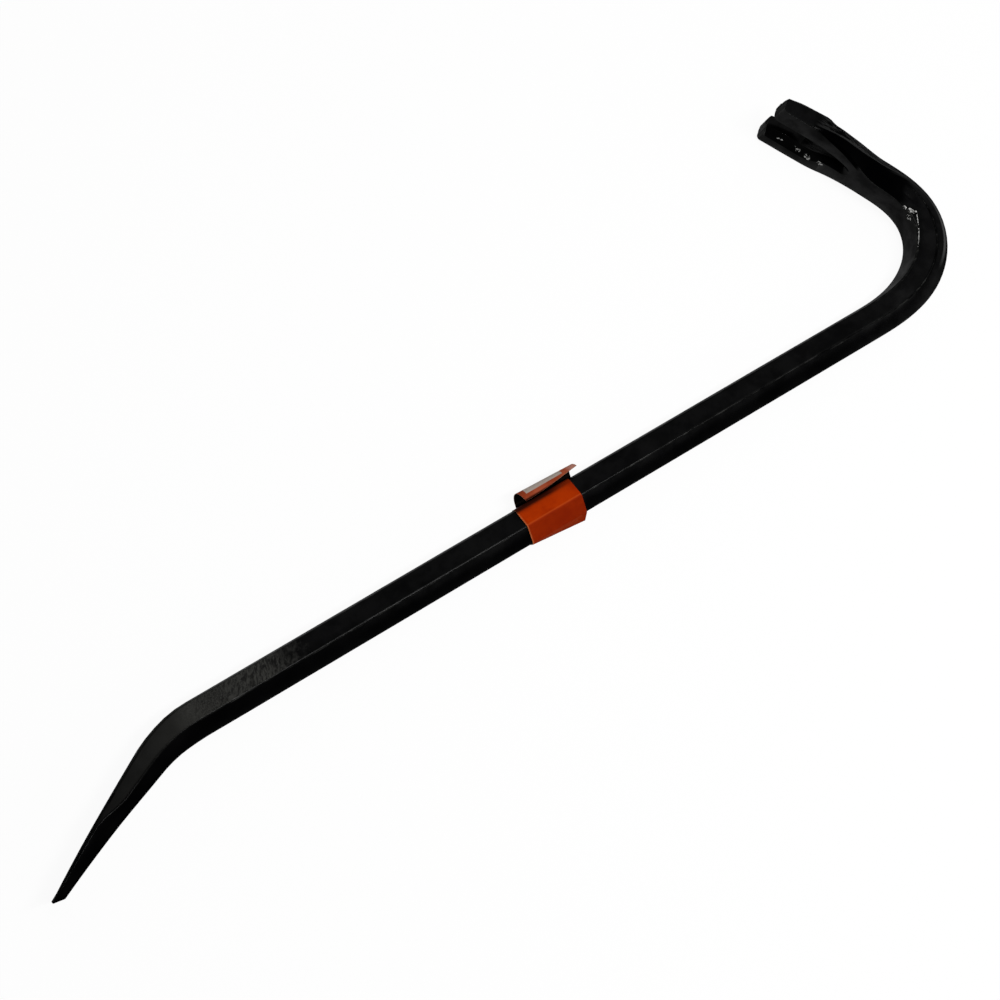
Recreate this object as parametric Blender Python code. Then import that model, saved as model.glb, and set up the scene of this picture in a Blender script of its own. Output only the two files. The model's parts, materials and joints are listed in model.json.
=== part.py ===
"""Gooseneck wrecking bar with a slotted nail-pulling claw, a bent chisel end
and a wrapped paper label round its hexagonal shank.

The bar is one forging. It is lofted along its bending line from closed
outlines that change shape on the way: a chisel blade, the hexagonal stock,
a thickened bend, a scooped neck and a wide claw. The nail slot is then cut
through the claw. Lengths are in metres and +Z is up. The bar lies on its side
as it comes to rest on a floor, with its shank along X.
"""
from bisect import bisect_right
from math import cos, pi, radians, sin, sqrt, tan

import bmesh
import bpy
from mathutils import Matrix, Vector

MM = 0.001

# Stock and shank
ACROSS_FLATS = 19.0 * MM
SHANK_LENGTH = 436.0 * MM
EDGE_ROUNDING = 1.1 * MM
STOCK_ROLL = radians(5.0)

# Chisel end
CHISEL_LENGTH = 93.2 * MM
CHISEL_ANGLE = radians(24.9)
CHISEL_CURVE = radians(4.3)
CHISEL_CURVED_LENGTH = 60.0 * MM
CHISEL_BEND_RADIUS = 70.0 * MM
TAPER_LENGTH = 100.0 * MM
BLADE_WIDTH = 24.0 * MM
BLADE_TIP_THICKNESS = 4.4 * MM
BEVEL_LENGTH = 4.4 * MM
RIDGE_START = 38.0 * MM
RIDGE_MIDDLE = 58.0 * MM
EDGE_LAND = 0.8 * MM

# Gooseneck
GOOSENECK_ANGLE = radians(121.0)
GOOSENECK_RADIUS = 32.3 * MM
EASE_IN = 71.5 * MM
EASE_OUT = 34.2 * MM
BEND_THICKNESS = 20.8 * MM
BEND_INNER_WIDTH = 19.0 * MM

# Claw
CLAW_LENGTH = 66.0 * MM
CLAW_HOOK = radians(3.5)
CLAW_WIDTH = 40.8 * MM
TINE_TIP_THICKNESS = 8.8 * MM
TINE_TAPER = 0.06
TINE_TIP_ROUNDING = 2.8 * MM
TINE_BACK_ROUNDING = 0.9 * MM
NECK_THICKNESS = 18.8 * MM
NECK_WIDTH = 19.6 * MM
FULL_WIDTH_LENGTH = 30.0 * MM
FLARE_LENGTH = 39.0 * MM
SIDE_EDGE_DEPTH = 0.9 * MM
BACK_INSET = 0.3 * MM
BACK_PAD = 0.9 * MM
SHOULDER_AT = 25.0 * MM
SHOULDER_LENGTH = 7.0 * MM
SHOULDER_INSET = 2.0 * MM
SCOOP_DEPTH = 1.6 * MM

# Nail slot
SLOT_DEPTH = 49.6 * MM
SLOT_MOUTH_WIDTH = 10.4 * MM
SLOT_ROOT_WIDTH = 4.4 * MM
SLOT_TAPER_LENGTH = 20.0 * MM
SLOT_BEVEL = 2.5 * MM

# Wrapped label
LABEL_WIDTH = 34.0 * MM
LABEL_FROM_CHISEL_BEND = 206.0 * MM
PAPER_THICKNESS = 0.35 * MM
CLEARANCE = 0.3 * MM
LABEL_SAG = 3.0 * MM
FLAP_HEIGHT = 6.6 * MM
FLAP_HEIGHT_LOOSE_END = 5.4 * MM
FLAP_SKEW = 8.0 * MM
FLAP_CURL = radians(172.0)
FLAP_CURL_LOOSE_END = radians(135.0)

CORNER_RADIUS = ACROSS_FLATS / sqrt(3)
HALF_FLAT = ACROSS_FLATS / 2
NECK_AT = FULL_WIDTH_LENGTH + FLARE_LENGTH
EDGE_SEGMENTS = 3
CUT_MARGIN = 12.0 * MM
SHANK_STEPS = 10
CHISEL_STEPS = 18
BEND_STEPS = 34
CLAW_STEPS = 26


def ramp(value, start, end, low, high):
    """Run straight from low to high while value runs from start to end."""
    t = min(max((value - start) / (end - start), 0.0), 1.0)
    return low + (high - low) * t


def blend(value, start, end, low, high):
    """Ease from low to high while value runs from start to end."""
    t = ramp(value, start, end, 0.0, 1.0)
    return low + (high - low) * t * t * (3.0 - 2.0 * t)


# The bending line runs from the chisel's edge to the tips of the claw.
CHISEL_TANGENT = CHISEL_BEND_RADIUS * tan(CHISEL_ANGLE / 2)
CHISEL_STRAIGHT = CHISEL_LENGTH - CHISEL_TANGENT
SHANK_START = CHISEL_STRAIGHT + CHISEL_BEND_RADIUS * CHISEL_ANGLE
BEND_START = SHANK_START + SHANK_LENGTH - CHISEL_TANGENT
STEADY_ARC = GOOSENECK_RADIUS * GOOSENECK_ANGLE - (EASE_IN + EASE_OUT) / 2
BEND_END = BEND_START + EASE_IN + STEADY_ARC + EASE_OUT
TOTAL = BEND_END + CLAW_LENGTH


# Each stretch of the bending line: its length and curvature at start and end.
STRETCHES = (
    (CHISEL_CURVED_LENGTH, -CHISEL_CURVE / CHISEL_CURVED_LENGTH,
     -CHISEL_CURVE / CHISEL_CURVED_LENGTH),
    (CHISEL_STRAIGHT - CHISEL_CURVED_LENGTH, 0.0, 0.0),
    (SHANK_START - CHISEL_STRAIGHT, -1.0 / CHISEL_BEND_RADIUS, -1.0 / CHISEL_BEND_RADIUS),
    (BEND_START - SHANK_START, 0.0, 0.0),
    (EASE_IN, 0.0, 1.0 / GOOSENECK_RADIUS),
    (STEADY_ARC, 1.0 / GOOSENECK_RADIUS, 1.0 / GOOSENECK_RADIUS),
    (EASE_OUT, 1.0 / GOOSENECK_RADIUS, 0.0),
    (CLAW_LENGTH, CLAW_HOOK / CLAW_LENGTH, CLAW_HOOK / CLAW_LENGTH),
)


def bending_line(pieces=400):
    """Distances, points and headings of the bending line, with the shank along +X."""
    along = 0.0
    heading = CHISEL_ANGLE + CHISEL_CURVE
    point = Vector((0.0, 0.0))
    samples = [(along, point.copy(), heading)]
    for length, first, last in STRETCHES:
        step = length / pieces
        for index in range(pieces):
            bend = first + (last - first) * (index + 0.5) / pieces
            middle = heading + bend * step / 2
            point += Vector((cos(middle), sin(middle))) * step
            heading += bend * step
            along += step
            samples.append((along, point.copy(), heading))
    shank = samples[3 * pieces][1]
    start = Vector((shank.x - CHISEL_TANGENT, shank.y))
    return [(along, place - start, turned) for along, place, turned in samples]


LINE = bending_line()
LINE_STOPS = [sample[0] for sample in LINE]


def on_line(along):
    """Place and heading at a distance along the bending line."""
    index = min(max(bisect_right(LINE_STOPS, along) - 1, 0), len(LINE) - 2)
    begin, first, heading = LINE[index]
    end, second, later = LINE[index + 1]
    share = min(max((along - begin) / (end - begin), 0.0), 1.0)
    return first.lerp(second, share), heading + (later - heading) * share


def frame_at(along):
    """Section frame: X points inward in the bend, Y out of its plane, Z ahead."""
    place, heading = on_line(along)
    inward = Vector((-sin(heading), cos(heading), 0.0))
    up = Vector((0.0, 0.0, 1.0))
    ahead = Vector((cos(heading), sin(heading), 0.0))
    turn = Matrix((inward, up, ahead)).transposed().to_4x4()
    return Matrix.Translation((place.x, place.y, 0.0)) @ turn


def quarter_round(from_tip, radius):
    """How far a face steps back near a tip that is rounded with this radius."""
    left = max(radius - from_tip, 0.0)
    return radius - sqrt(max(radius ** 2 - left ** 2, 0.0))


def chisel_section(along):
    """Inner and outer faces, widths and side edge depth of the blade."""
    full = ramp(along, BEVEL_LENGTH, TAPER_LENGTH, BLADE_TIP_THICKNESS, ACROSS_FLATS)
    inner = full / 2
    thickness = full
    if along < BEVEL_LENGTH:
        thickness = ramp(along, 0.0, BEVEL_LENGTH, EDGE_LAND, BLADE_TIP_THICKNESS)
    side = blend(along, 0.0, SHANK_START, BLADE_WIDTH / 2, CORNER_RADIUS)
    side_depth = blend(along, RIDGE_START, RIDGE_MIDDLE, 0.14, 0.5) * thickness
    inner_width = side - side_depth * tan(pi / 6)
    outer_width = side - min(thickness - side_depth, HALF_FLAT) * tan(pi / 6)
    outer_width = blend(along, 0.0, SHANK_START, max(outer_width, side - 1.6 * MM), outer_width)
    return inner, inner - thickness, inner_width, side, outer_width, side_depth, 0.0


def claw_section(along):
    """Inner and outer faces, widths and side edge depth of bend, neck and claw."""
    from_tip = TOTAL - along
    bend_middle = BEND_START + EASE_IN
    thickness = blend(along, BEND_START, bend_middle, ACROSS_FLATS, BEND_THICKNESS)
    thickness = blend(from_tip, NECK_AT, TOTAL - bend_middle, NECK_THICKNESS, thickness)
    if from_tip < NECK_AT:
        thin = TINE_TIP_THICKNESS + TINE_TAPER * from_tip
        rest = NECK_THICKNESS - TINE_TIP_THICKNESS - TINE_TAPER * NECK_AT
        thickness = thin + blend(from_tip, NECK_AT * 0.58, NECK_AT, 0.0, rest)
    inner_width = blend(along, BEND_START, BEND_START + EASE_IN * 0.75,
                        CORNER_RADIUS / 2, BEND_INNER_WIDTH / 2)
    inner_width = blend(from_tip, NECK_AT, NECK_AT + EASE_OUT, NECK_WIDTH / 2, inner_width)
    inner_width = blend(from_tip, FULL_WIDTH_LENGTH, NECK_AT, CLAW_WIDTH / 2, inner_width)
    side = blend(from_tip, FULL_WIDTH_LENGTH, NECK_AT, CLAW_WIDTH / 2, CORNER_RADIUS)
    side_depth = blend(along, BEND_START, bend_middle, HALF_FLAT, BEND_THICKNESS * 0.55)
    side_depth = blend(from_tip, NECK_AT * 0.2, NECK_AT * 0.95, SIDE_EDGE_DEPTH, side_depth)
    shoulder_end = SHOULDER_AT + SHOULDER_LENGTH
    pad = blend(from_tip, 0.0, SHOULDER_AT * 0.4, 0.0, BACK_PAD)
    pad = blend(from_tip, SHOULDER_AT, shoulder_end, pad, 0.0)
    inset = blend(from_tip, SHOULDER_AT, shoulder_end, BACK_INSET, SHOULDER_INSET)
    inset = blend(from_tip, NECK_AT * 0.64, NECK_AT, inset, CORNER_RADIUS / 2)
    inner_width = min(inner_width, side)
    scoop = blend(from_tip, NECK_AT * 0.2, NECK_AT * 0.6, 0.0, SCOOP_DEPTH)
    scoop = blend(from_tip, NECK_AT * 1.1, NECK_AT * 1.45, scoop, 0.0)
    inner = thickness / 2
    thickness += pad
    outer_width = side - inset
    if from_tip < TINE_TIP_ROUNDING:
        outer = inner - thickness + quarter_round(from_tip, TINE_BACK_ROUNDING)
        inner -= quarter_round(from_tip, TINE_TIP_ROUNDING)
        thickness = inner - outer
        shrink = quarter_round(from_tip, TINE_BACK_ROUNDING)
        side -= shrink
        inner_width -= shrink
        outer_width -= shrink
    return inner, inner - thickness, inner_width, side, outer_width, side_depth, scoop


def section(along):
    """The eight corners of the bar's section, counterclockwise seen from ahead."""
    if along < SHANK_START:
        sizes = chisel_section(along)
    elif along <= BEND_START:
        half = CORNER_RADIUS / 2
        sizes = (HALF_FLAT, -HALF_FLAT, half, CORNER_RADIUS, half, HALF_FLAT, 0.0)
    else:
        sizes = claw_section(along)
    inner, outer, inner_width, side, outer_width, side_depth, scoop = sizes
    near = [
        Vector((inner, inner_width)),
        Vector((inner - side_depth / 2, (inner_width + side) / 2 - scoop)),
        Vector((inner - side_depth, side)),
        Vector((outer, outer_width)),
    ]
    return near + [Vector((corner.x, -corner.y)) for corner in reversed(near)]


def roll_at(along):
    """How far the hexagon is turned about the bar's own axis."""
    roll = blend(along, CHISEL_STRAIGHT / 2, SHANK_START, 0.0, STOCK_ROLL)
    return blend(along, BEND_START, BEND_START + EASE_IN, roll, 0.0)


def rounded(corners, radius, segments):
    """Replace each corner by a short arc."""
    outline = []
    for index, corner in enumerate(corners):
        before = corners[index - 1] - corner
        after = corners[(index + 1) % len(corners)] - corner
        reach = min(radius, before.length * 0.45, after.length * 0.45)
        first = corner + before.normalized() * reach
        last = corner + after.normalized() * reach
        for part in range(segments + 1):
            t = part / segments
            outline.append(first * (1 - t) ** 2 + corner * 2 * t * (1 - t) + last * t ** 2)
    return outline


def stations():
    """Distances along the bending line at which the bar gets an outline."""
    places = [BEVEL_LENGTH * share for share in (0.0, 0.5, 0.85, 1.0, 1.2)]
    spans = (
        (BEVEL_LENGTH * 1.2, SHANK_START, CHISEL_STEPS),
        (SHANK_START, BEND_START, SHANK_STEPS),
        (BEND_START, BEND_END, BEND_STEPS),
        (BEND_END, TOTAL - TINE_TIP_ROUNDING, CLAW_STEPS),
    )
    for start, end, count in spans:
        places += [start + (end - start) * (index + 1) / count for index in range(count)]
    places += [TOTAL - TINE_TIP_ROUNDING * (1 - share) for share in (0.4, 0.75, 0.95)]
    return places


def skin(name, rings):
    """Join a row of closed outlines into one solid."""
    mesh = bmesh.new()
    loops = [[mesh.verts.new(point) for point in ring] for ring in rings]
    for first, second in zip(loops, loops[1:]):
        for index in range(len(first)):
            after = (index + 1) % len(first)
            mesh.faces.new((first[index], first[after], second[after], second[index]))
    mesh.faces.new(list(reversed(loops[0])))
    mesh.faces.new(loops[-1])
    bmesh.ops.recalc_face_normals(mesh, faces=mesh.faces)
    data = bpy.data.meshes.new(name)
    mesh.to_mesh(data)
    mesh.free()
    item = bpy.data.objects.new(name, data)
    bpy.context.scene.collection.objects.link(item)
    return item


def bar_blank():
    """The forging before its nail slot is cut."""
    rings = []
    for along in stations():
        turn = Matrix.Rotation(roll_at(along), 2)
        corners = [turn @ corner for corner in section(along)]
        outline = rounded(corners, EDGE_ROUNDING, EDGE_SEGMENTS)
        place = frame_at(along)
        rings.append([place @ Vector((point.x, point.y, 0.0)) for point in outline])
    return skin("forged_bar", rings)


def slot_half_width(from_tip):
    """Half of the slot's width below its bevel."""
    taper = SLOT_DEPTH - SLOT_TAPER_LENGTH
    return ramp(from_tip, taper, SLOT_DEPTH, SLOT_MOUTH_WIDTH / 2, SLOT_ROOT_WIDTH / 2)


def slot_cutter():
    """A tapering tongue with bevelled top edges and a round root."""
    root = SLOT_DEPTH - SLOT_ROOT_WIDTH / 2
    places = [(-CUT_MARGIN, 0.0), (SLOT_DEPTH * 0.25, 0.0), (SLOT_DEPTH * 0.45, 0.0)]
    places += [(SLOT_DEPTH - SLOT_TAPER_LENGTH, 0.0), (root - SLOT_TAPER_LENGTH / 3, 0.0)]
    edge = [(from_tip, slot_half_width(from_tip), 0.0) for from_tip, _ in places]
    for index in range(5):
        angle = pi / 2 * (index + 0.5) / 5
        edge.append((root, SLOT_ROOT_WIDTH / 2, angle))
    mirrored = [(from_tip, -half, -angle) for from_tip, half, angle in reversed(edge)]
    levels = []
    for lift, widen in ((-CUT_MARGIN, 0.0), (-SLOT_BEVEL, 0.0), (CUT_MARGIN, SLOT_BEVEL + CUT_MARGIN)):
        ring = []
        for from_tip, half, angle in edge + mirrored:
            side = 1.0 if half > 0 else -1.0
            reach = abs(half) + widen
            shift = 0.0
            if angle:
                shift = reach * sin(abs(angle))
                reach = reach * cos(angle)
            along = TOTAL - max(from_tip, 0.0)
            inner = claw_section(TOTAL - max(from_tip, TINE_TIP_ROUNDING))[0]
            level = inner + lift if lift > -CUT_MARGIN else -CUT_MARGIN
            beyond = min(from_tip, 0.0) + shift
            ring.append(frame_at(along) @ Vector((level, side * reach, -beyond)))
        levels.append(ring)
    return skin("slot_cutter", levels)


def cut_slot(bar):
    """Cut the nail slot through the claw."""
    cutter = slot_cutter()
    cutter.hide_render = True
    cutter.display_type = "WIRE"
    modifier = bar.modifiers.new("nail_slot", "BOOLEAN")
    modifier.operation = "DIFFERENCE"
    modifier.solver = "EXACT"
    modifier.object = cutter
    depsgraph = bpy.context.evaluated_depsgraph_get()
    data = bpy.data.meshes.new_from_object(bar.evaluated_get(depsgraph))
    data.name = bar.name
    bar.modifiers.clear()
    bar.data = data
    bpy.data.objects.remove(cutter)


def label_path(share):
    """Middle line of the paper in the section plane, with its sideways shift.

    It starts on the inner flat under the curl, runs once round the hexagon
    and lifts off at the last corner as a curled flap. The lower edge sags
    away from the bar towards one end of the band.
    """
    gap = CLEARANCE + PAPER_THICKNESS / 2
    radius = CORNER_RADIUS + gap / cos(pi / 6)
    corners = [Vector((cos(pi / 6 + pi / 3 * turn), sin(pi / 6 + pi / 3 * turn))) * radius
               for turn in range(6)]
    flat = corners[0].x
    half = corners[0].y
    path = [Vector((flat, half * 0.3))]
    for index in range(5):
        corner = corners[index]
        before = corners[index - 1] - corner
        after = corners[(index + 1) % 6] - corner
        first = corner + before.normalized() * EDGE_ROUNDING
        last = corner + after.normalized() * EDGE_ROUNDING
        for part in range(EDGE_SEGMENTS + 1):
            t = part / EDGE_SEGMENTS
            path.append(first * (1 - t) ** 2 + corner * 2 * t * (1 - t) + last * t ** 2)
        if index == 2:
            sag = LABEL_SAG * share
            path[-1] = Vector((-flat - sag, half - EDGE_ROUNDING))
            path.append(Vector((-flat - sag * 0.9, half - EDGE_ROUNDING * 1.6)))
            path.append(Vector((-flat, 0.0)))
    curl = FLAP_CURL + (FLAP_CURL_LOOSE_END - FLAP_CURL) * share ** 1.6
    height = FLAP_HEIGHT + (FLAP_HEIGHT_LOOSE_END - FLAP_HEIGHT) * share
    for index in range(17):
        angle = curl * index / 16
        path.append(Vector((flat + height * sin(angle), -half * cos(angle))))
    lengths = [0.0]
    for before, after in zip(path, path[1:]):
        lengths.append(lengths[-1] + (after - before).length)
    skew_from = lengths[3 * (EDGE_SEGMENTS + 1)]
    shifts = [ramp(length, skew_from, lengths[-1], 0.0, FLAP_SKEW) for length in lengths]
    for index in range(3 * (EDGE_SEGMENTS + 1), 3 * (EDGE_SEGMENTS + 1) + 2):
        shifts[index] -= LABEL_SAG * share * 0.9
    return list(zip(path, shifts))


def wrap_label():
    """Paper band round the shank with a curled free end."""
    columns = 10
    turn = Matrix.Rotation(STOCK_ROLL, 2)
    start = SHANK_START - CHISEL_TANGENT + LABEL_FROM_CHISEL_BEND
    grids = []
    for column in range(columns + 1):
        share = column / columns
        path = label_path(share)
        outer = []
        inner = []
        for index, (point, shift) in enumerate(path):
            ahead = path[min(index + 1, len(path) - 1)][0]
            behind = path[max(index - 1, 0)][0]
            along = (ahead - behind).normalized()
            normal = Vector((along.y, -along.x)) * PAPER_THICKNESS / 2
            place = frame_at(start + LABEL_WIDTH * share)
            for side, line in ((1.0, outer), (-1.0, inner)):
                flat = turn @ (point + normal * side)
                line.append(place @ Vector((flat.x, flat.y, shift)))
        grids.append(outer + list(reversed(inner)))
    return skin("wrap_label", grids)


def volume_centre(item):
    """Centre of mass of a closed solid."""
    mesh = bmesh.new()
    mesh.from_mesh(item.data)
    bmesh.ops.triangulate(mesh, faces=mesh.faces)
    total = 0.0
    centre = Vector((0.0, 0.0, 0.0))
    for face in mesh.faces:
        first, second, third = [vert.co for vert in face.verts]
        volume = first.dot(second.cross(third)) / 6
        total += volume
        centre += (first + second + third) * volume / 4
    mesh.free()
    return centre / total


def resting_turn(items, centre):
    """Rotation that lays the hull facet under the centre of mass on the floor."""
    hull = bmesh.new()
    for item in items:
        for vert in item.data.vertices:
            hull.verts.new(vert.co)
    bmesh.ops.convex_hull(hull, input=hull.verts)
    down = Vector((0.0, 0.0, -1.0))
    widest = 0.0
    normal = down.copy()
    for face in hull.faces:
        if face.normal.dot(down) < 0.9:
            continue
        first, second, third = [vert.co for vert in face.verts]
        foot = centre + face.normal * (first - centre).dot(face.normal)
        inside = True
        for start, end in ((first, second), (second, third), (third, first)):
            inside = inside and (end - start).cross(foot - start).dot(face.normal) > -1e-12
        if inside and face.calc_area() > widest:
            widest = face.calc_area()
            normal = face.normal.copy()
    hull.free()
    return normal.rotation_difference(down).to_matrix()


def lay_down(items):
    """Turn the parts into their resting pose, shank along X, base at Z = 0."""
    turn = resting_turn(items, volume_centre(items[0]))
    shank = turn @ Vector((1.0, 0.0, 0.0))
    level = Vector((shank.x, shank.y)).normalized()
    spin = Matrix(((level.x, level.y, 0.0), (-level.y, level.x, 0.0), (0.0, 0.0, 1.0)))
    turn = (spin @ turn).to_4x4()
    for item in items:
        item.data.transform(turn)
    points = [vert.co for item in items for vert in item.data.vertices]
    low = Vector([min(point[axis] for point in points) for axis in range(3)])
    high = Vector([max(point[axis] for point in points) for axis in range(3)])
    shift = Matrix.Translation((-(low.x + high.x) / 2, -(low.y + high.y) / 2, -low.z))
    for item in items:
        item.data.transform(shift)


def material(name, colour, metallic, roughness):
    """Plain material with the given surface values."""
    made = bpy.data.materials.new(name)
    made.use_nodes = True
    shader = made.node_tree.nodes["Principled BSDF"]
    shader.inputs["Base Color"].default_value = (*colour, 1.0)
    shader.inputs["Metallic"].default_value = metallic
    shader.inputs["Roughness"].default_value = roughness
    return made


def triangulated(item):
    """Split the faces of a solid into triangles."""
    mesh = bmesh.new()
    mesh.from_mesh(item.data)
    bmesh.ops.triangulate(mesh, faces=mesh.faces)
    mesh.to_mesh(item.data)
    mesh.free()


def main():
    for item in list(bpy.data.objects):
        bpy.data.objects.remove(item)
    bar = bar_blank()
    cut_slot(bar)
    label = wrap_label()
    lay_down([bar, label])
    bar.data.materials.append(material("forged_bar", (0.02, 0.02, 0.021), 0.0, 0.42))
    label.data.materials.append(material("wrap_label", (0.62, 0.13, 0.012), 0.0, 0.45))
    for item in (bar, label):
        triangulated(item)


main()
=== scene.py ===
# %% [markdown]
# # A gooseneck wrecking bar
#
# The real tool is one forging: hexagonal steel bar, flattened to a chisel at one end, and curled
# round and flared into a slotted claw at the other. It is dipped in black lacquer and sold with a
# printed paper label wrapped round its shank.
#
# The shapes were made first as exact solids. This script loads them as a fixed frame and dresses
# them: it rounds and roughens the forging, makes the lacquer and the paper, and lights them.

import json
from math import pi, radians

import bmesh
import bpy
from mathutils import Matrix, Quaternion, Vector, noise

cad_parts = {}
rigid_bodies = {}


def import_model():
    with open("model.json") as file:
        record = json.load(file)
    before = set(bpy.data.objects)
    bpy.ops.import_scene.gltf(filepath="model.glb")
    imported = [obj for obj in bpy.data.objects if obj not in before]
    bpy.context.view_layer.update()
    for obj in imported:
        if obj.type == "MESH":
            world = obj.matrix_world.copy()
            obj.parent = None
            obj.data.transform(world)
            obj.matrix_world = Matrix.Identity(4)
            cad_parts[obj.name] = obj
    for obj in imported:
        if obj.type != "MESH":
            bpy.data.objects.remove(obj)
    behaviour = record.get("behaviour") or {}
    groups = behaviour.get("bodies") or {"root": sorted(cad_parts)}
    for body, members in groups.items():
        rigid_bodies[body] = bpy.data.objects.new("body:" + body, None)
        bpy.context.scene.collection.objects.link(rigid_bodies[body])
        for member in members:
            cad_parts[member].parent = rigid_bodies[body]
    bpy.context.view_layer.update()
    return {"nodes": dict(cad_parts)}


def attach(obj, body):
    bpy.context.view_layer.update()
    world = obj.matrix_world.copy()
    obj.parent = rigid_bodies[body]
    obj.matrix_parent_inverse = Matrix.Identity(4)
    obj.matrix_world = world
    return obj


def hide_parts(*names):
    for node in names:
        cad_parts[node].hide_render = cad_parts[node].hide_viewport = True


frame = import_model()
MM = 0.001
print("solids:", sorted(frame["nodes"]))

# %% [markdown]
# ## The camera
#
# The picture was taken from above the chisel end, a little to the left, with a lens of about
# 67 mm. The camera could be placed by eye, but here it was solved from measures of the bar, so
# its place, the point it looks at and its roll are written down as they came out.

# %% Camera
camera_data = bpy.data.cameras.new("camera")
camera_data.sensor_width = 36.0
camera_data.lens = 66.6
camera_data.clip_start = 0.05
camera = bpy.data.objects.new("camera", camera_data)
camera.location = (-0.29014, -0.14162, 0.91610)
camera_aim = Vector((-0.00983, -0.02599, 0.01500))
camera_roll = radians(36.273)
facing = (camera_aim - camera.location).to_track_quat("-Z", "Y")
camera.rotation_mode = "QUATERNION"
camera.rotation_quaternion = facing @ Quaternion((0, 0, 1), camera_roll)
bpy.context.scene.collection.objects.link(camera)
bpy.context.scene.camera = camera
print("camera to bar:", round((camera_aim - camera.location).length, 3), "m")

# %% [markdown]
# ## Writing materials as sums
#
# A material is a graph of nodes. Drawing one with the mouse is fine once, but a formula such as
# `1 - mask * 0.4` is easier to read than the nodes it stands for. So one small class wraps the
# output of a node, and each operator on it adds a Math node.

# %% Shader arithmetic
class Wire:
    """The output of a node; arithmetic on it adds Math nodes."""

    def __init__(self, finish, socket):
        self.finish = finish
        self.socket = socket

    def math(self, operation, first, second):
        return self.finish.node("ShaderNodeMath", {"operation": operation},
                                {0: first, 1: second})

    def __add__(self, other):
        return self.math("ADD", self, other)

    def __sub__(self, other):
        return self.math("SUBTRACT", self, other)

    def __rsub__(self, other):
        return self.math("SUBTRACT", other, self)

    def __mul__(self, other):
        return self.math("MULTIPLY", self, other)

    def __truediv__(self, other):
        return self.math("DIVIDE", self, other)

    def __pow__(self, other):
        return self.math("POWER", self, other)

    __radd__ = __add__
    __rmul__ = __mul__


class Finish:
    """One material that is being wired up."""

    def __init__(self, name):
        self.material = bpy.data.materials.new(name)
        self.material.use_nodes = True
        self.tree = self.material.node_tree
        self.tree.nodes.clear()

    def node(self, kind, settings=None, values=None, output=0):
        """Add a node: its type, its settings, then the values or links of its sockets."""
        made = self.tree.nodes.new(kind)
        for name, setting in (settings or {}).items():
            if name == "stops":
                ramp = made.color_ramp
                for place, shade in setting[1:-1]:
                    ramp.elements.new(place)
                for element, (place, shade) in zip(ramp.elements, setting):
                    element.position = place
                    element.color = (shade, shade, shade, 1.0)
            else:
                setattr(made, name, setting)
        for name, value in (values or {}).items():
            if isinstance(value, Wire):
                self.tree.links.new(value.socket, made.inputs[name])
            else:
                made.inputs[name].default_value = value
        return Wire(self, made.outputs[output])

    def place(self):
        """Object coordinates, in metres, as the frame has them."""
        return self.node("ShaderNodeTexCoord", output="Object")

    def measure(self, name):
        """A number that the mesh carries on its points."""
        settings = {"attribute_name": name, "attribute_type": "GEOMETRY"}
        return self.node("ShaderNodeAttribute", settings, output="Fac")

    def turned(self, heading):
        """Object coordinates whose X runs at a heading, in degrees, seen from above."""
        values = {"Vector": self.place(), "Rotation": (0.0, 0.0, radians(-heading))}
        return self.node("ShaderNodeMapping", None, values)

    def drawn(self, heading, length):
        """Coordinates squeezed so that a pattern is drawn out along a heading."""
        values = {"Vector": self.turned(heading), "Scale": (1.0 / length, 1.0, 1.0)}
        return self.node("ShaderNodeMapping", None, values)

    def axis(self, letter, place=None):
        """One coordinate of a place."""
        return self.node("ShaderNodeSeparateXYZ", None, {0: place or self.place()}, output=letter)

    def noise(self, size, detail=3.0, roughness=0.55, place=None):
        """Cloudy noise whose blobs are about as wide as the given size in metres."""
        values = {"Vector": place or self.place(), "Scale": 1.0 / size,
                  "Detail": detail, "Roughness": roughness}
        return self.node("ShaderNodeTexNoise", None, values)

    def ramp(self, value, *stops):
        """A grey that goes through stops, each a place from 0 to 1 and a shade."""
        return self.node("ShaderNodeValToRGB", {"stops": stops}, {0: value})

    def between(self, value, low, high, bottom=0.0, top=1.0):
        """Smooth step from bottom to top while value goes from low to high."""
        values = {"Value": value, "From Min": low, "From Max": high,
                  "To Min": bottom, "To Max": top}
        return self.node("ShaderNodeMapRange", {"interpolation_type": "SMOOTHSTEP"}, values)

    def near(self, point, radius):
        """One at a point of the object, falling to nothing at a distance from it."""
        away = self.node("ShaderNodeVectorMath", {"operation": "DISTANCE"},
                         {0: self.place(), 1: point}, output="Value")
        return self.between(away, radius, radius * 0.5)

    def line(self, offset, width):
        """One where an offset is nought, falling to nothing half a width away."""
        return self.between(self.node("ShaderNodeMath", {"operation": "ABSOLUTE"}, {0: offset}),
                            width * 0.5, width * 0.15)

    def arc(self, middle, radius):
        """How far a point lies outside a circle that is seen from above."""
        x = self.axis("X") - middle[0]
        y = self.axis("Y") - middle[1]
        return (x * x + y * y) ** 0.5 - radius

    def mix(self, factor, first, second):
        """Blend two colours."""
        values = {0: factor, 6: first, 7: second}
        return self.node("ShaderNodeMix", {"data_type": "RGBA"}, values, output=2)

    def bump(self, height, depth, normal=None):
        """Relief of a depth in metres, on top of other relief if there is some."""
        values = {"Height": height, "Distance": depth}
        if normal:
            values["Normal"] = normal
        return self.node("ShaderNodeBump", None, values)

    def surface(self, shader):
        """Make a shader the material's surface, and hand the material over."""
        end = self.tree.nodes.new("ShaderNodeOutputMaterial")
        self.tree.links.new(shader.socket, end.inputs["Surface"])
        return self.material

    def tell(self, made):
        """Print what a cell has added."""
        print(self.material.name, "now has", made, "in", len(self.tree.nodes), "nodes")


def rgb(red, green, blue):
    """A colour that hides what is behind it."""
    return (red, green, blue, 1.0)


print("white is", rgb(1.0, 1.0, 1.0))

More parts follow.
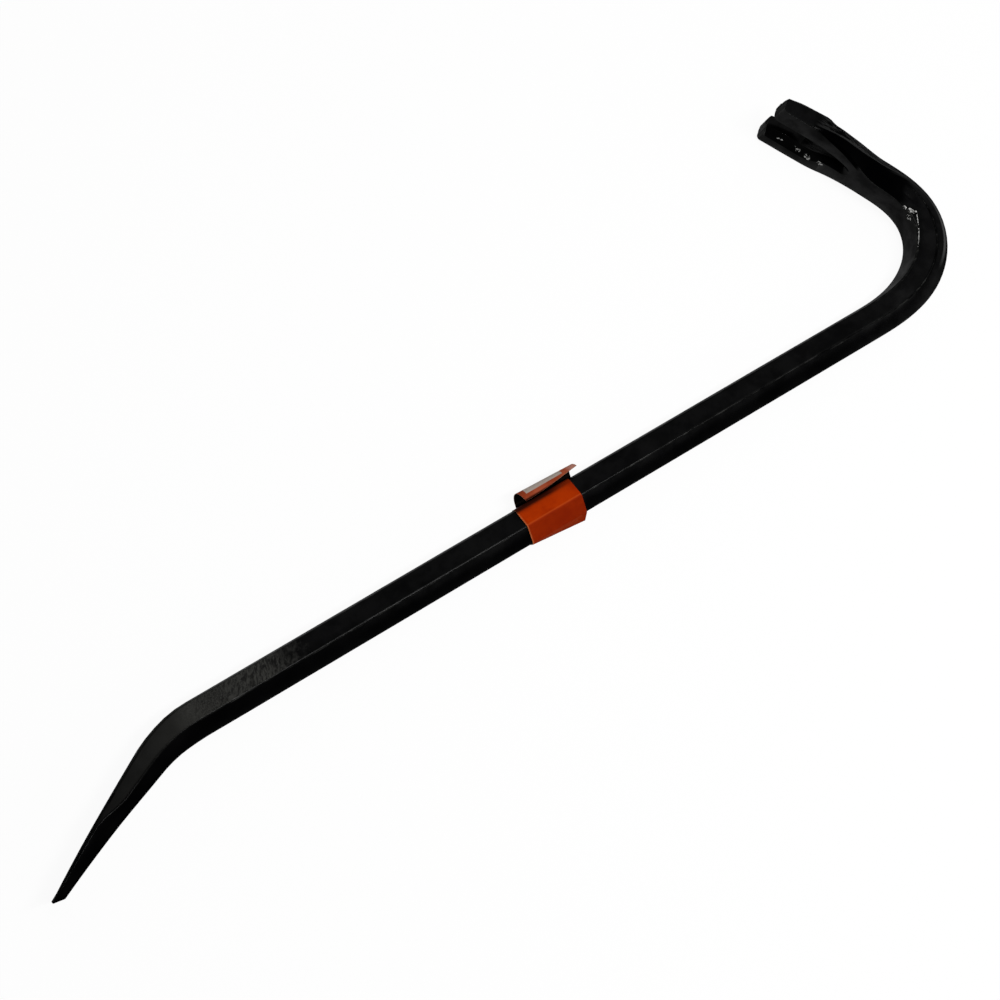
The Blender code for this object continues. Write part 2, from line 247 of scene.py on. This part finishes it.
# %% [markdown]
# ## Copying a solid
#
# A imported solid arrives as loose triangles. They could be dressed as they are, but smooth shading
# and bevels need to know which faces meet.

# %% Welded copy
def welded(node):
    """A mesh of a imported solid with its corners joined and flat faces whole."""
    source = next(item for item in bpy.data.objects if item.name == node)
    mesh = bmesh.new()
    mesh.from_mesh(source.data)
    bmesh.ops.remove_doubles(mesh, verts=mesh.verts, dist=0.002 * MM)
    bmesh.ops.recalc_face_normals(mesh, faces=mesh.faces)
    bmesh.ops.join_triangles(mesh, faces=mesh.faces, angle_face_threshold=radians(8),
                             angle_shape_threshold=radians(60))
    print(node, len(mesh.verts), "points", len(mesh.faces), "faces")
    return mesh


def as_piece(mesh, name, node, sharp):
    """Make a finished mesh an object that stands in for the solid it came from."""
    data = bpy.data.meshes.new(name)
    mesh.to_mesh(data)
    mesh.free()
    data.shade_smooth()
    data.set_sharp_from_angle(angle=radians(sharp))
    item = bpy.data.objects.new(name, data)
    bpy.context.scene.collection.objects.link(item)
    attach(item, "root")
    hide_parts(node)
    return item


# %% [markdown]
# ## The forged bar
#
# The bevel of the nail slot is dressed wider on the lower tine, and the ends of both tines are
# domed, as hot steel is when it is knocked to length. Both could be cut again with Booleans, but
# the solid already has the points that matter. So the inner row of the bevel moves further in, and
# each end face is inset in steps that rise a little, so that it stays inside the solid's box.

# %% Worn slot
ACROSS_CLAW = Vector((0.0096, -0.0974, 0.9952))
CLAW_MIDDLE = 17.1
SLOT_WEAR = 5.6 * MM
BEVEL_ROW = (-7.95, -6.9)


def share(value, low, high):
    """How far a value has come from low to high, from 0 to 1."""
    return min(max((value - low) / (high - low), 0.0), 1.0)


def off_middle(point):
    """How far a point lies above the middle of the claw, in millimetres."""
    return ACROSS_CLAW.dot(point) / MM - CLAW_MIDDLE


bar_mesh = welded("forged_bar")
worn_points = 0
for vert in bar_mesh.verts:
    in_claw = vert.co.x > 0.236 and vert.co.y > 0.040
    if in_claw and BEVEL_ROW[0] < off_middle(vert.co) < BEVEL_ROW[1]:
        vert.co -= ACROSS_CLAW * (SLOT_WEAR * share(vert.co.y, 0.043, 0.057))
        worn_points += 1
print("points of the bevel moved:", worn_points)

# %% Soft tips
CLAW_HEADING = Vector((-0.57, 0.82, 0.09)).normalized()
LEAST_TIP_AREA = 20 * MM * MM
LOWER_DOME = ((1.0, 0.55), (1.2, 0.35))
UPPER_DOME = ((0.9, 0.85), (1.2, 0.60), (1.4, 0.25))
tips = [face for face in bar_mesh.faces
        if face.calc_center_median().y > 0.06 and face.calc_area() > LEAST_TIP_AREA
        and face.normal.angle(CLAW_HEADING) < radians(6)]
upper_tip = [face for face in tips if off_middle(face.calc_center_median()) > 0.0]
lower_tip = [face for face in tips if face not in upper_tip]
for tip, dome in ((lower_tip, LOWER_DOME), (upper_tip, UPPER_DOME)):
    for thickness, depth in dome:
        bmesh.ops.inset_region(bar_mesh, faces=tip, thickness=thickness * MM, depth=depth * MM,
                               use_even_offset=True)
print("faces of the soft tips:", len(lower_tip), len(upper_tip))

# %% [markdown]
# ### Edges and rings
#
# A cut edge in forged steel is never knife sharp, so the edges of the claw get a small round. A
# bevel modifier could do it for the whole bar, but the solid has rounds along its ridges already.
# The long faces of the shank run in one piece from bend to bend. They are cut into rings here,
# because a face can only wave where it has points.

# %% Claw edges
CLAW_FROM = 0.215
EDGE_ROUND = 0.35 * MM
SHORTEST_EDGE = 0.15 * MM
claw_edges = []
for edge in bar_mesh.edges:
    if len(edge.link_faces) == 2 and min(vert.co.x for vert in edge.verts) > CLAW_FROM:
        if edge.calc_face_angle() > radians(33) and edge.calc_length() > SHORTEST_EDGE:
            claw_edges.append(edge)
bmesh.ops.bevel(bar_mesh, geom=claw_edges, offset=EDGE_ROUND, segments=2, profile=0.5,
                affect="EDGES", clamp_overlap=True, material=-1)
print("rounded", len(claw_edges), "edges")

# %% Rings
FIRST_RING, RING_GAP, RINGS = -0.200, 0.008, 52
for ring in range(RINGS):
    whole = bar_mesh.verts[:] + bar_mesh.edges[:] + bar_mesh.faces[:]
    bmesh.ops.bisect_plane(bar_mesh, geom=whole, plane_co=(FIRST_RING + RING_GAP * ring, 0, 0),
                           plane_no=(1, 0, 0), dist=0.01 * MM)
print("cut", RINGS, "rings; now", len(bar_mesh.faces), "faces")

# %% [markdown]
# ### Hammered surface
#
# Forged faces wave by a tenth of a millimetre. That could be painted on as bump, but an outline
# only changes if the mesh does. So every point moves inward a little, by a slow noise that is
# stronger at both ends, where the bar was heated. Inward only, so that the bar keeps its size.

# %% Hammered surface
WAVE_WIDTH = 22 * MM
COLD_DEPTH, HEATED_DEPTH = 0.05 * MM, 0.18 * MM
bar_mesh.normal_update()
moves = {}
for vert in bar_mesh.verts:
    heated = share(abs(vert.co.x - 0.01), 0.17, 0.22)
    wave = 0.5 + 0.5 * noise.noise(vert.co / WAVE_WIDTH)
    depth = COLD_DEPTH + (HEATED_DEPTH - COLD_DEPTH) * heated
    moves[vert] = vert.normal * wave * depth
for vert, move in moves.items():
    vert.co -= move
bar_mesh.normal_update()
print("pushed in by up to", round(max(move.length for move in moves.values()) / MM, 2), "mm")

# %% [markdown]
# ### Where the finish changes
#
# The finish follows the shape: paint is thin along the ridges, which carry a painted highlight too,
# the upper faces by the chisel are rough with scale and carry a painted sheen, and the undersides
# are duller. A mask could be painted by hand. Here the mesh carries numbers, worked out from its
# own angles, and the material reads them by name. A number that should fade, such as how far a face
# looks up, sits on points.

# %% Masks on points
upper = bar_mesh.verts.layers.float.new("upper")
topside = bar_mesh.verts.layers.float.new("topside")
outward = bar_mesh.verts.layers.float.new("outward")
underside = bar_mesh.verts.layers.float.new("underside")
streaked = bar_mesh.verts.layers.float.new("streaked")
far_edge = bar_mesh.verts.layers.float.new("far_edge")
for vert in bar_mesh.verts:
    # upper: faces that look up and away, towards the far lamp, where the scale's sheen is painted.
    vert[upper] = share(vert.normal.y + 0.25 * vert.normal.z, -0.15, 0.15)
    vert[topside] = share(vert.normal.z, 0.35, 0.6)
    vert[outward] = share(vert.normal.x, 0.2, 0.4) * share(vert.co.x, 0.255, 0.27)
    vert[underside] = share(-vert.normal.y, 0.2, 0.4) * share(0.22 - vert.co.x, 0.0, 0.02)
    vert[streaked] = share(vert.normal.z, 0.1, 0.3)
    vert[far_edge] = share(vert.normal.y, 0.42, 0.5) * share(-vert.co.x, 0.19, 0.21)
print("points that look up:", sum(vert[topside] > 0.5 for vert in bar_mesh.verts))

# %% [markdown]
# A number that should end at an edge sits on faces. On a point it would fade out over the next
# face. Two finishes need that: the worn paint and painted highlight on the narrow facets that make
# the ridges of the hexagon, and the dull paint on the bevel in the slot. A ridge is known by its
# shape: a narrow face whose two long edges both bend.

# %% Masks on faces
RIDGE_WIDTH = 1.0 * MM
WORN_BEVEL = (-13.8, -5.0)
ridge = bar_mesh.faces.layers.float.new("ridge")
sunk = bar_mesh.faces.layers.float.new("sunk")
for face in bar_mesh.faces:
    centre = face.calc_center_median()
    in_slot = centre.y > 0.036 and WORN_BEVEL[0] < off_middle(centre) < WORN_BEVEL[1]
    face[sunk] = 1.0 if in_slot and 0.1 < face.normal.z < 0.8 else 0.0
    longest = max(edge.calc_length() for edge in face.edges)
    bends = [edge.calc_face_angle(0.0) for edge in face.edges if edge.calc_length() > longest / 2]
    narrow = face.calc_area() / longest < RIDGE_WIDTH
    face[ridge] = 1.0 if narrow and len(bends) == 2 and min(bends) > radians(9) else 0.0
print("ridge faces:", sum(face[ridge] > 0 for face in bar_mesh.faces),
      "slot bevel faces:", sum(face[sunk] > 0 for face in bar_mesh.faces))

# %% [markdown]
# ## Black lacquer over a forging
#
# The bar is dipped in black lacquer. Its colour is close to pure black everywhere, so what the
# eye reads is gloss. A glossy black plastic would do from afar, but its mirror is too strong. A
# thin clear coat over a matt black gives the soft sheen of a dipped forging.
#
# Three noises are shared by the cells that follow: a fine speckle, blotches and slow clouds.

# %% Lacquer
lacquer = Finish("black_lacquer")
along = lacquer.axis("X")
speckle = lacquer.noise(0.9 * MM, 3.0, 0.7)
blotch = lacquer.noise(6.0 * MM, 3.0, 0.6)
cloud = lacquer.noise(26 * MM, 2.0)
black = lacquer.mix(lacquer.between(cloud, 0.35, 0.65), rgb(0.0004, 0.0004, 0.0005),
                    rgb(0.0010, 0.0010, 0.0011))
lacquer.tell("its black")

# %% [markdown]
# ### Scale and painted sheen on the chisel bend
#
# Where the chisel was forged, scale under the paint roughens the upper faces, and the lamps' sheen
# on it is painted into the colour as a grey patch. It is smooth in the bend and turns rough towards
# the shank, where it ends in hammer marks that lie across the bar. An image could be wrapped round
# the bar for it, but the patch changes mostly along the bar. So a ramp gives how grey it is there,
# and two noises, one round and one drawn out, break it up.

# %% Scale and painted sheen on the chisel bend
GREY_FROM = -0.274
GREY_LENGTH = 0.150
hammer = lacquer.noise(1.3 * MM, 2.0, 0.6, lacquer.drawn(65, 4.0))
ragged = (blotch - 0.5) * lacquer.between(along, -0.17, -0.15) * 0.3
grey = lacquer.ramp((along - GREY_FROM) / GREY_LENGTH + ragged, (0.06, 0.0), (0.14, 0.18),
                    (0.30, 0.25), (0.42, 0.40), (0.52, 0.96), (0.74, 0.82), (0.82, 0.40),
                    (0.91, 0.0))
rough = lacquer.between(along, -0.212, -0.186)
marked = lacquer.between(along, -0.190, -0.165, 0.35, 0.85)
mottle = lacquer.between(speckle * (1.0 - marked) + hammer * marked, 0.38, 0.60, 0.30, 1.55)
# The grey is painted sheen, kept to the upper faces and off the ridge facets.
scale_and_sheen = (grey * (1.0 + (mottle - 1.0) * rough) * lacquer.measure("upper")
         * (1.0 - lacquer.measure("ridge") * 0.7))
scale_and_sheen_tone = lacquer.mix(scale_and_sheen, black, rgb(0.034, 0.034, 0.031))
lacquer.tell("its scale")

# %% [markdown]
# ### Hollow beside the claw
#
# The neck of the claw is hollowed by the hammer, and paint that gathers in a hollow dries flat and
# dull, so it mirrors no lamp. A darker colour would not show on black. The mask takes away gloss
# instead, between a straight line on the neck and the edge of the claw's concave face. It is
# worked out in coordinates that are turned to lie along the claw, because there a line is a sum.

# %% Hollow beside the claw
CLAW_TURN = 124.2
NECK_SLOPE, NECK_OFFSET = 0.1, -0.23328
FLARE_SLOPE, FLARE_OFFSET = 0.46, 0.08336
claw_place = lacquer.turned(CLAW_TURN)
down_claw = lacquer.axis("X", claw_place)
beside_line = lacquer.axis("Y", claw_place) - down_claw * NECK_SLOPE - NECK_OFFSET
in_neck = lacquer.between(down_claw, -0.158, -0.150) * lacquer.between(down_claw, -0.088, -0.095)
flare_line = lacquer.axis("Z") - down_claw * FLARE_SLOPE - FLARE_OFFSET
on_face = (lacquer.between(flare_line, -0.4 * MM, 0.4 * MM)
           * lacquer.between(down_claw, -0.125, -0.120))
hollow = (lacquer.between(beside_line, 0.0, 0.8 * MM) * lacquer.between(beside_line, 0.030, 0.025)
          * in_neck * lacquer.between(lacquer.measure("topside") + on_face, 0.0, 1.0))
lacquer.tell("its hollow")

# %% [markdown]
# ### Thin paint and a painted highlight along the ridges
#
# Wet paint draws back from a sharp edge, so the ridges of the hexagon show as fine broken lines,
# and the same pale lines also serve as a painted highlight along them.
# They could be drawn along the mesh edges, but an edge has no width. The solid has a narrow facet
# along each ridge, and those faces carry the mask. The shoulder, where the claw begins to flare,
# is left out: there the edge is round and the paint is whole.

# %% Thin paint and painted highlight along the ridges
SHOULDER = (0.2545, 0.0565, 0.0395)
scuff = lacquer.between(lacquer.noise(1.1 * MM, 2.0, 0.6, lacquer.drawn(0, 9.0)), 0.50, 0.64)
# Worn paint and a painted highlight, both on the ridge facets.
thin_paint_and_highlight = (lacquer.measure("ridge") * lacquer.between(along, -0.238, -0.215)
              * (lacquer.between(blotch, 0.34, 0.6) * (0.25 + scuff)
                 + lacquer.between(lacquer.axis("Y"), 0.030, 0.040) * 0.5)
              * (1.0 - lacquer.near(SHOULDER, 9.0 * MM)) * (1.0 - hollow))
thinned_and_highlit = lacquer.mix(thin_paint_and_highlight * 0.7, scale_and_sheen_tone, rgb(0.022, 0.022, 0.021))
lacquer.tell("its thin paint")

# %% [markdown]
# ### Streaks and a painted highlight
#
# Beside the hollow lie fine pale streaks and a pale line along its edge, and round the outside of
# the bend a pale line is painted as the highlight on its rounded edge. Both could be modelled, but
# they have no thickness to speak of. A noise that is drawn out along the neck gives the streaks,
# and a circle, seen from above, gives the painted highlight.

# %% Streaks and painted highlight
STREAK_HEADING = CLAW_TURN - 5.7
BEND_RIM = ((0.2619, -0.0070), 34.6 * MM)
PALE_LINE = rgb(0.040, 0.040, 0.040)
drawn_marks = lacquer.noise(0.8 * MM, 2.0, 0.6, lacquer.drawn(STREAK_HEADING, 12.0))
marks = lacquer.between(drawn_marks, 0.48, 0.60)
streaks = ((lacquer.line(beside_line, 1.2 * MM)
            + lacquer.between(beside_line, 0.0, -0.5 * MM) * marks)
           * in_neck * lacquer.between(beside_line, -9.0 * MM, -7.0 * MM)
           * lacquer.measure("streaked"))
# A painted highlight on the rounded outer edge of the bend.
rim_highlight = (lacquer.line(lacquer.arc(*BEND_RIM), 2.6 * MM)
            * lacquer.between(along, 0.276, 0.288) * lacquer.measure("outward")
            * lacquer.between(lacquer.axis("Y"), 0.002, -0.020, 0.15, 1.0))
streaked_paint = lacquer.mix(streaks * 0.35, thinned_and_highlit, PALE_LINE)
lined = lacquer.mix(rim_highlight, streaked_paint, PALE_LINE)
lacquer.tell("its streaks")

# %% [markdown]
# ### Chips
#
# At a few spots in the slot and at the inner edge of the bend, handling has chipped the paint to
# bare steel. A noise alone could scatter such chips, but it would put them anywhere. So each spot
# has a place and a radius, in millimetres, and the noise only breaks up its edge. Bare steel is
# the only metallic part of the finish.

# %% Chips
CHIPPED_ARC = ((0.2350, 0.0118), 50.5 * MM)
BEND_CHIPS = (((0.2782, 0.0005, 0.0234), 1.6), ((0.2803, -0.0024, 0.0238), 1.8),
              ((0.2818, -0.0045, 0.0240), 1.8), ((0.2792, -0.0052, 0.0210), 2.6))
SLOT_CHIPS = (((0.2426, 0.0716, 0.0122), 1.8), ((0.2438, 0.0698, 0.0122), 1.8),
              ((0.2480, 0.0628, 0.0125), 2.2), ((0.2495, 0.0606, 0.0110), 2.4),
              ((0.2528, 0.0552, 0.0097), 2.8), ((0.2569, 0.0484, 0.0111), 2.4))
chips = (lacquer.line(lacquer.arc(*CHIPPED_ARC), 0.7 * MM)
         * lacquer.between(lacquer.axis("Y"), -0.026, -0.018)
         * lacquer.between(lacquer.axis("Y"), -0.003, -0.006))
for spot, radius in BEND_CHIPS + SLOT_CHIPS:
    chips = chips + lacquer.near(spot, radius * MM)
flake = lacquer.between(lacquer.noise(0.9 * MM, 2.0, 0.6, lacquer.drawn(124, 1.8)), 0.46, 0.56)
chipped = lacquer.between(chips * flake, 0.3, 0.6)
tone = lacquer.mix(chipped, lined, rgb(0.30, 0.30, 0.29))
lacquer.tell("its chips")

# %% [markdown]
# ### Gloss
#
# Last comes how much the paint shines: unevenly where it was handled, not at all in the hollow,
# and little on the undersides and in the slot. Roughness could dull it, but that would smear the
# lamps over more of the bar. So each dull place takes away a share of the clear coat. Scale under
# the coat also makes it stand up by a fraction of a millimetre, which is what the bump is for.

# %% Gloss
smudge = lacquer.between(lacquer.noise(9.0 * MM, 4.0, 0.6), 0.35, 0.65, 0.7, 1.35)
on_blade = lacquer.between(along, -0.190, -0.220)
gloss = smudge
for dull in (hollow, lacquer.measure("outward") * 0.6, lacquer.measure("sunk") * 0.85,
             lacquer.measure("far_edge") * 0.9,
             lacquer.measure("underside") * (0.5 + on_blade * 0.45),
             lacquer.measure("ridge") * on_blade * 0.9, lacquer.near(SHOULDER, 11.0 * MM) * 0.5):
    gloss = gloss * (1.0 - dull)
lacquer.tell("its gloss")

# %% Lacquer shader
skin_bump = lacquer.bump(lacquer.noise(4.0 * MM, 2.0), 0.03 * MM)
skin_bump = lacquer.bump(mottle * scale_and_sheen * rough, 0.2 * MM, skin_bump)
lacquer_shader = lacquer.node("ShaderNodeBsdfPrincipled", None, {
    "Base Color": tone, "Metallic": chipped * 0.5, "Roughness": 0.5 + scale_and_sheen * 0.2,
    "Normal": skin_bump, "Specular IOR Level": 0.0,
    "Coat Weight": (0.085 + cloud * 0.03) * gloss, "Coat Roughness": 0.2, "Coat IOR": 1.5})
black_lacquer = lacquer.surface(lacquer_shader)
lacquer.tell("all its layers")

# %% [markdown]
# ### The finished bar
#
# The mesh now becomes an object. Shaded flat, its bends would show every facet. So faces that
# meet at less than 32 degrees are shaded as one: the bends and the small rounds of the ridges look
# smooth, and the cut edges of the slot and the chisel stay crisp.

# %% Lacquered bar
bar = as_piece(bar_mesh, "lacquered_bar", "forged_bar", sharp=32)
bar.data.materials.append(black_lacquer)
print(bar.name, len(bar.data.polygons), "faces")

# %% [markdown]
# ## The paper label
#
# A strip of coated paper goes once round the shank and ends in a flap that has curled up. Its
# outside is printed orange, and its inside is painted almost black, as the shade it lies in. One
# material with a mask would do, but paper has two broad sides and a thin rim, and walking over the
# mesh from face to face, without crossing a sharp edge, finds them. So each side gets a material of
# its own.

# %% Sides of the sheet
label_mesh = welded("wrap_label")


def sides_of(mesh, sharp):
    """Groups of faces that meet without a sharp edge, widest first."""
    left = set(mesh.faces)
    groups = []
    while left:
        group = [left.pop()]
        for face in group:
            for edge in face.edges:
                if edge.calc_face_angle(pi) < sharp:
                    for other in edge.link_faces:
                        if other in left:
                            left.remove(other)
                            group.append(other)
        groups.append(group)
    return sorted(groups, key=lambda group: -sum(face.calc_area() for face in group))


sides = sides_of(label_mesh, sharp=radians(55))
for number, group in enumerate(sides):
    for face in group:
        face.material_index = min(number, 2)
print("sides of the sheet:", [len(group) for group in sides])

# %% [markdown]
# ### Coated paper
#
# The three sides are one kind of paper under three colours: the print, the rim and the painted
# shade of the inside. So one function makes the paper and is handed the colouring. A scan of paper
# could be wrapped on, but two noises do as well at this size: a fine one for the fibres, and a wide
# one for the way that the sheet cockles.

# %% Coated paper
def paper_finish(name, colouring, sheen):
    """Coated paper of one colouring with fibre bump; the colouring is made by a function."""
    paper = Finish(name)
    fibre = paper.noise(0.8 * MM, 3.0)
    wave = paper.noise(9 * MM, 2.0)
    bump = paper.bump(wave, 0.12 * MM, paper.bump(fibre, 0.015 * MM))
    shader = paper.node("ShaderNodeBsdfPrincipled", None, {
        "Base Color": colouring(paper, fibre, wave), "Roughness": 0.42 + fibre * 0.16,
        "Normal": bump, "Specular IOR Level": sheen})
    paper.tell("its ink")
    return paper.surface(shader)


# Painted shade: the inside of the sheet is nearly black, as it lies in shade.
def shaded_back(paper, fibre, wave):
    return paper.mix(wave, rgb(0.004, 0.0016, 0.0012), rgb(0.0025, 0.001, 0.0008))


def rim(paper, fibre, wave):
    return paper.mix(fibre, rgb(0.26, 0.10, 0.055), rgb(0.34, 0.19, 0.13))


shaded_back_paper = paper_finish("shaded_back_paper", shaded_back, 0.02)
paper_rim = paper_finish("paper_rim", rim, 0.04)

# %% [markdown]
# ### Printed side
#
# The print is a strong orange that is a little uneven, as cheap print is. Light and shade are
# painted over it: a broken pale highlight along the folds over the hexagon's ridges and along a
# crease on the front, painted shade on the lower side below the crease, the painted shadow of the
# curl above, and a near black painted shadow in the gap under the curl. Near both ends of the strip
# it is paler. One wide noise could vary all of it, but the changes follow the strip. So each is a
# band, from one distance off the shank's middle line to the next.

# %% Printed front
SHANK_Y = -43.8 * MM
ORANGE, DEEP_ORANGE = rgb(0.36, 0.028, 0.0002), rgb(0.27, 0.017, 0.0002)


def printed_front(paper, fibre, wave, along, across):
    """Orange of the wrapped part, with painted highlights, shade and the curl's shadow."""
    front = paper.mix(paper.between(wave, 0.3, 0.7), ORANGE, DEEP_ORANGE)
    # Painted highlight on the folds, painted shade on the lower side, painted highlight on the
    # crease.
    fold_highlight = (paper.measure("ridge") ** 4.0) * paper.between(fibre, 0.3, 0.6, 0.2, 0.5)
    low_side_shade = paper.between(across, -1.0 * MM, -2.8 * MM)
    crease_highlight = paper.line(across + 1.5 * MM, 1.2 * MM)
    ends = paper.between(along, -7.0 * MM, -7.8 * MM) + paper.between(along, 33.0 * MM, 33.8 * MM)
    # Painted shadow of the curl, and a near black painted shadow in the gap under it.
    shade = paper.between(across, 4.0 * MM, 8.5 * MM)
    gap_shadow = (paper.between(across, 5.6 * MM, 7.6 * MM)
           * paper.between(along, 26.0 * MM, 10.0 * MM, 0.3, 0.92))
    for band, tint in ((fold_highlight, rgb(0.42, 0.085, 0.025)), (low_side_shade * 0.65, rgb(0.15, 0.008, 0.0005)),
                       (crease_highlight * 0.35, rgb(0.46, 0.075, 0.012)),
                       (ends * fibre, rgb(0.50, 0.15, 0.045)),
                       (shade * 0.5, rgb(0.09, 0.010, 0.001)), (gap_shadow, rgb(0.008, 0.002, 0.001))):
        front = paper.mix(band, front, tint)
    return front


# %% [markdown]
# On the curl the print is a pinkish orange, partly its ink and partly the sheen of the glossy paper
# painted into it, paler still at its tip, round a plain pale panel. The curl could be a sheet of
# its own, but it is the same paper. It begins at a distance from the middle line too, so one more
# band fades the front into it.

# %% Printed curl
def printed(paper, fibre, wave):
    along = paper.axis("X")
    across = paper.axis("Y") - SHANK_Y
    front = printed_front(paper, fibre, wave, along, across)
    # The curl's orange, with the sheen of the glossy paper painted in.
    curl_ink_and_sheen = paper.mix(paper.between(wave, 0.35, 0.6), rgb(0.31, 0.065, 0.028),
                      rgb(0.24, 0.038, 0.013))
    tip = paper.between(along, 27.0 * MM, 31.0 * MM)
    curl_ink_and_sheen = paper.mix(tip * 0.6, curl_ink_and_sheen, rgb(0.46, 0.25, 0.20))
    both = paper.mix(paper.between(across, 10.2 * MM, 11.4 * MM), front, curl_ink_and_sheen)
    panel = (paper.between(along, 2.2 * MM, 2.7 * MM) * paper.between(along, 25.2 * MM, 24.7 * MM)
             * paper.between(across, 13.0 * MM, 13.3 * MM)
             * paper.between(paper.axis("Z"), 12.0 * MM, 12.5 * MM))
    return paper.mix(panel * (0.8 + fibre * 0.2), both, rgb(0.37, 0.33, 0.29))


printed_paper = paper_finish("printed_paper", printed, 0.015)

# %% [markdown]
# ### Folds in the label
#
# Where the paper bends over a ridge of the hexagon a pale highlight is painted on its print. A line
# could be drawn at each ridge, but the mesh knows where it bends, so its points carry the mask.
# With it the label is whole, and its three sides get their materials.

# %% Paper label
fold_mask = label_mesh.verts.layers.float.new("ridge")
for vert in label_mesh.verts:
    bend = max(edge.calc_face_angle(0.0) for edge in vert.link_edges if not edge.is_boundary)
    outer = all(face.material_index == 0 for face in vert.link_faces)
    vert[fold_mask] = 1.0 if outer and bend > radians(14) else 0.0
label = as_piece(label_mesh, "paper_label", "wrap_label", sharp=40)
for paper in (printed_paper, shaded_back_paper, paper_rim):
    label.data.materials.append(paper)
print(label.name, len(label.data.polygons), "faces")

# %% [markdown]
# ## The floor
#
# The floor is plain and white. To be as white as the paper of a catalogue it would need far more
# light than the bar can take, so part of it glows, and only for rays that come straight from the
# camera or off a glossy or clear surface. The rest is painted, and takes the bar's shadow. A low
# view would look past a small floor, so it is 20 m wide and ends in a low wall.

# %% Floor
FLOOR_REACH = 10.0
WALL_HEIGHT = 1.2
floor_data = bpy.data.meshes.new("floor")
floor_mesh = bmesh.new()
bmesh.ops.create_grid(floor_mesh, x_segments=1, y_segments=1, size=FLOOR_REACH)
wall = bmesh.ops.extrude_edge_only(floor_mesh, edges=floor_mesh.edges[:])
wall_top = [made for made in wall["geom"] if isinstance(made, bmesh.types.BMVert)]
bmesh.ops.translate(floor_mesh, vec=(0, 0, WALL_HEIGHT), verts=wall_top)
floor_mesh.to_mesh(floor_data)
floor_mesh.free()
floor = bpy.data.objects.new("floor", floor_data)
bpy.context.scene.collection.objects.link(floor)
print("floor is", floor.dimensions.x, "m wide")

# %% Floor finish
floor_finish = Finish("white_floor")
seen = floor_finish.node("ShaderNodeLightPath", output="Is Camera Ray")
glossy = floor_finish.node("ShaderNodeLightPath", output="Is Glossy Ray")
clear = floor_finish.node("ShaderNodeLightPath", output="Is Transmission Ray")
paint = floor_finish.node("ShaderNodeBsdfDiffuse", None, {"Color": rgb(0.9, 0.9, 0.9)})
glow = floor_finish.node("ShaderNodeEmission", None, {"Color": rgb(1.0, 1.0, 1.0)})
floor_shader = floor_finish.node("ShaderNodeMixShader", None, {
    0: (seen + glossy + clear) * 0.94, 1: paint, 2: glow})
floor.data.materials.append(floor_finish.surface(floor_shader))
floor_finish.tell("paint and glow")

# %% [markdown]
# ## Studio light
#
# A black glossy bar shows its lamps more than its own colour, so the lamps are laid out by what
# each face mirrors. A broad soft one on the far side gives the upper faces of the shank their
# sheen. A narrow strip above draws a thin line along each ridge. Small cards above the gooseneck
# lift its top and its inner side, and a low one the outside of its bend. One more stands behind
# the claw's back for views from there. The near side has no lamp, so the lower faces stay dark.

# %% Lamps
def softbox(name, place, aim, width, height, glow):
    """An area lamp of a given brightness, whatever its size."""
    data = bpy.data.lights.new(name, "AREA")
    data.shape = "RECTANGLE"
    data.size = width
    data.size_y = height
    data.energy = 4.0 * width * height * glow
    lamp = bpy.data.objects.new(name, data)
    lamp.location = place
    lamp.rotation_mode = "QUATERNION"
    lamp.rotation_quaternion = (Vector(aim) - lamp.location).to_track_quat("-Z", "Y")
    bpy.context.scene.collection.objects.link(lamp)
    print(name, round(data.energy, 1), "W")


softbox("far_side", (0.45, 1.05, 1.05), (0.05, 0, 0), 3.0, 1.3, 0.5)
softbox("strip", (0.25, -0.37, 1.20), (0.25, -0.37, 0), 0.70, 0.16, 26.0)
softbox("inside_card", (0.26, 0.05, 1.2), (0.26, 0.05, 0), 0.22, 0.3, 7.0)
softbox("top_card", (0.85, 0.2, 1.2), (0.85, 0.2, 0), 0.4, 0.7, 0.8)
softbox("back_fill", (1.0, -1.7, 1.1), (0.0, 0.0, 0.0), 1.5, 0.9, 1.5)
softbox("low_card", (1.45, -0.85, 0.22), (0.2, 0, 0), 1.1, 0.2, 0.5)

# %% [markdown]
# The room itself gives a little light from all round, so that no face is quite black. A lamp
# above could do that too, but the lacquer would mirror it.

# %% Room light
ROOM_LIGHT = 0.05
world = bpy.data.worlds.new("studio")
world.use_nodes = True
background = world.node_tree.nodes["Background"]
background.inputs["Color"].default_value = rgb(1.0, 1.0, 1.0)
background.inputs["Strength"].default_value = ROOM_LIGHT
bpy.context.scene.world = world
bpy.context.scene.view_settings.view_transform = "Standard"
print("room light:", ROOM_LIGHT)
